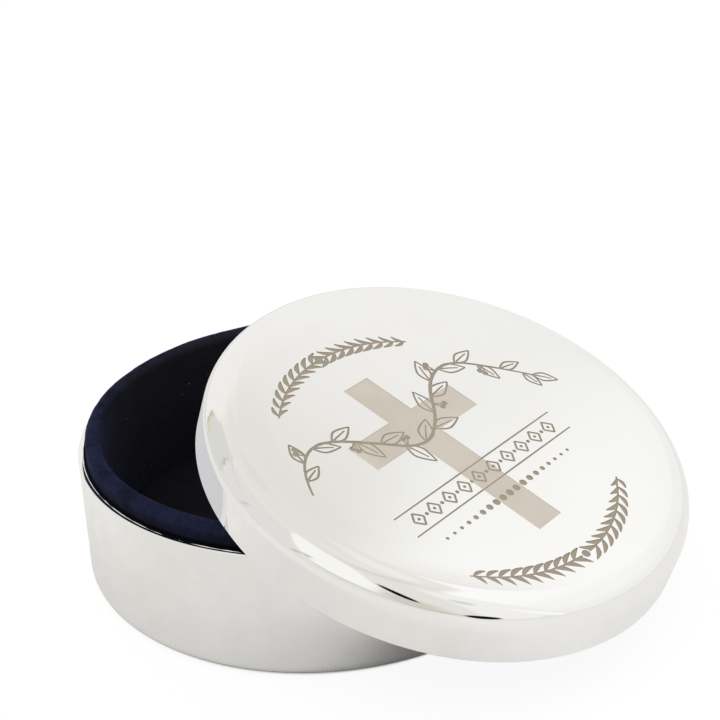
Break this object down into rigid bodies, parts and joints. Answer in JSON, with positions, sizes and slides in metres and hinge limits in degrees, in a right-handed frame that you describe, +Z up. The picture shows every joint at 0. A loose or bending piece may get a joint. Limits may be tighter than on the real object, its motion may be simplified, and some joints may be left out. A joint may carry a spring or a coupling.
{
  "type": "round keepsake box",
  "caption": "Round polished metal keepsake box with a velvet lining and a loose lift-off cap lid resting askew on the velvet collar.",
  "frame": {"origin": "middle of the underside, on the box's own axis, at the height of the surface the box stands on", "axes": "+Z up along the box's axis; the box is round, and the lid leans towards +X and a little towards -Y, so that a viewer who looks along +Y sees it slide down to the right"},
  "size_m": [0.1129, 0.1075, 0.0483],
  "materials": {
    "plated_metal": "polished",
    "velvet": "matte",
    "felt": "matte",
    "wadding": "matte",
    "card": "matte"
  },
  "bodies": {
    "box": {"box_shell": "plated_metal", "base_felt": "felt", "wall_card": "card", "wall_velvet": "velvet", "floor_card": "card", "floor_pad": "wadding", "floor_velvet": "velvet"},
    "lid": {"lid_shell": "plated_metal", "lid_card": "card", "lid_velvet": "velvet"}
  },
  "joints": [
    {"name": "lid_lift", "type": "slide", "parent": "box", "child": "lid", "axis": [0, 0, 1], "range_m": [0, 0.06]}
  ]
}
